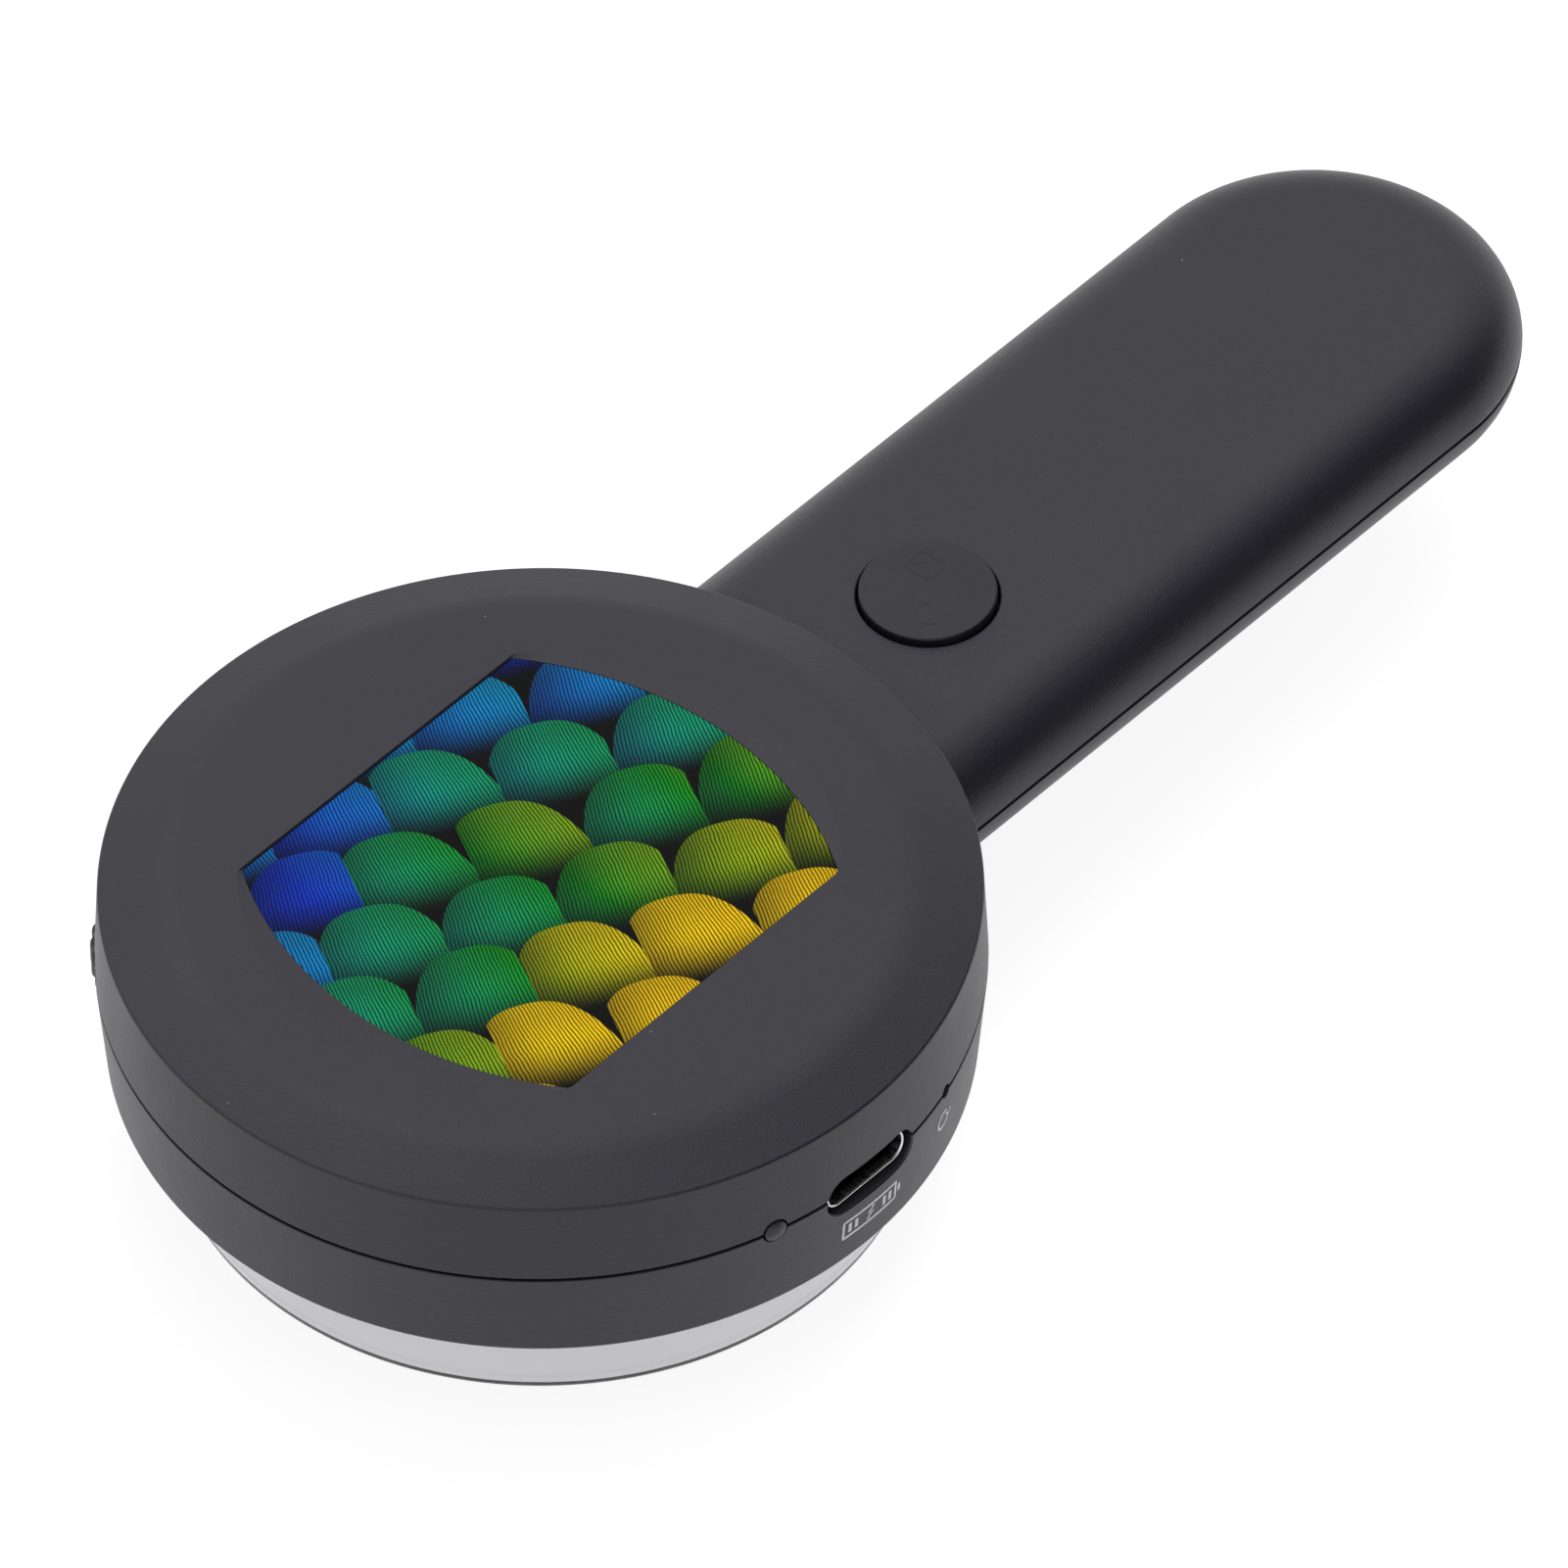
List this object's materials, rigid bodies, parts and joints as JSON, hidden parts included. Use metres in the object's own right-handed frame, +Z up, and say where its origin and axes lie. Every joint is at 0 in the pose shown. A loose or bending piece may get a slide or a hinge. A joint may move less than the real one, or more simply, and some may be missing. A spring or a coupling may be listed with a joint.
{
  "type": "digital magnifier",
  "caption": "Handheld digital magnifier: round head with a recessed screen, a camera and ring light inside a clear hood below, and a flat handle with a push button.",
  "frame": {"origin": "centre of the whole magnifier's plan, level with the hood's foot that it stands on", "axes": "+Z up from the hood to the screen, +Y from the head to the handle's end, +X towards the charging port's side"},
  "size_m": [0.0697, 0.1436, 0.0272],
  "materials": {
    "charcoal_plastic": "fine spark-eroded grain, satin",
    "black_plastic": "satin moulded",
    "white_plastic": "semi-gloss",
    "clear_plastic": "polished, transparent",
    "frosted_plastic": "frosted, translucent",
    "window_glass": "polished",
    "lens_glass": "coated, polished",
    "screen_glass": "lit screen under clear glass",
    "sensor_glass": "cover glass over silicon",
    "black_foam": "closed-cell foam",
    "circuit_board": "solder resist",
    "ribbon": "polyimide film",
    "steel": "plated",
    "battery_foil": "laminated foil",
    "lamp_phosphor": "phosphor under silicone",
    "red_wire": "insulated wire",
    "black_wire": "insulated wire"
  },
  "bodies": {
    "case": {"upper_shell": "charcoal_plastic", "lower_shell": "charcoal_plastic", "display_window": "window_glass", "display_gasket": "black_foam", "display_panel": "screen_glass", "display_backlight": "white_plastic", "display_flex": "ribbon", "main_board": "circuit_board", "main_board_screw_1": "steel", "main_board_screw_2": "steel", "main_board_screw_3": "steel", "processor_chip": "black_plastic", "memory_chip": "black_plastic", "usb_port_shell": "steel", "usb_port_tongue": "black_plastic", "status_light_pipe": "clear_plastic", "status_led": "lamp_phosphor", "reset_switch_body": "black_plastic", "button_switch_body": "black_plastic", "button_board": "circuit_board", "button_board_screw_1": "steel", "button_board_screw_2": "steel", "button_flex": "ribbon", "battery": "battery_foil", "battery_pad": "black_foam", "battery_lead_positive": "red_wire", "battery_lead_negative": "black_wire", "focus_wheel_axle": "steel", "lens_holder": "black_plastic", "lens_holder_screw_1": "steel", "lens_holder_screw_2": "steel", "camera_board": "circuit_board", "image_sensor": "sensor_glass", "light_board": "circuit_board", "light_led_1": "lamp_phosphor", "light_led_2": "lamp_phosphor", "light_led_3": "lamp_phosphor", "light_led_4": "lamp_phosphor", "light_led_5": "lamp_phosphor", "light_led_6": "lamp_phosphor", "light_led_7": "lamp_phosphor", "light_led_8": "lamp_phosphor", "light_diffuser": "frosted_plastic", "hood": "clear_plastic", "lanyard_pin": "steel", "shell_screw_1": "steel", "shell_screw_2": "steel", "shell_screw_3": "steel"},
    "focus_wheel": {"focus_wheel": "black_plastic"},
    "focus_ring": {"focus_ring": "black_plastic"},
    "lens": {"lens_barrel": "black_plastic", "front_lens": "lens_glass", "rear_lens": "lens_glass"},
    "button": {"button_cap": "charcoal_plastic"},
    "button_plunger": {"button_switch_plunger": "white_plastic"},
    "reset_plunger": {"reset_switch_plunger": "white_plastic"}
  },
  "joints": [
    {"name": "focus_wheel_turn", "type": "hinge", "parent": "case", "child": "focus_wheel", "pos_m": [-0.01888, -0.05388, 0.01804], "axis": [0, 0, 1], "range_deg": [-120, 120]},
    {"name": "focus_ring_turn", "type": "hinge", "parent": "case", "child": "focus_ring", "pos_m": [0, -0.03688, 0.0143], "axis": [0, 0, 1], "range_deg": [-40, 40]},
    {"name": "lens_slide", "type": "slide", "parent": "case", "child": "lens", "axis": [0, 0, 1], "range_m": [-0.0008, 0.0008]},
    {"name": "button_press", "type": "slide", "parent": "case", "child": "button", "axis": [0, 0, 1], "range_m": [-0.0003, 0], "stiffness_N_per_m": 1500, "springref_m": 0.0002},
    {"name": "button_plunger_press", "type": "slide", "parent": "case", "child": "button_plunger", "axis": [0, 0, 1], "range_m": [-0.0003, 0]},
    {"name": "reset_press", "type": "slide", "parent": "case", "child": "reset_plunger", "axis": [-0.9583, -0.2857, 0], "range_m": [0, 0.0002], "stiffness_N_per_m": 1500, "springref_m": -0.0002}
  ],
  "couplings": [
    {"joint": "focus_wheel_turn", "follows": "lens_slide", "rad_per_m": 2618},
    {"joint": "focus_ring_turn", "follows": "lens_slide", "rad_per_m": -872.66},
    {"joint": "button_plunger_press", "follows": "button_press", "ratio": 1}
  ]
}
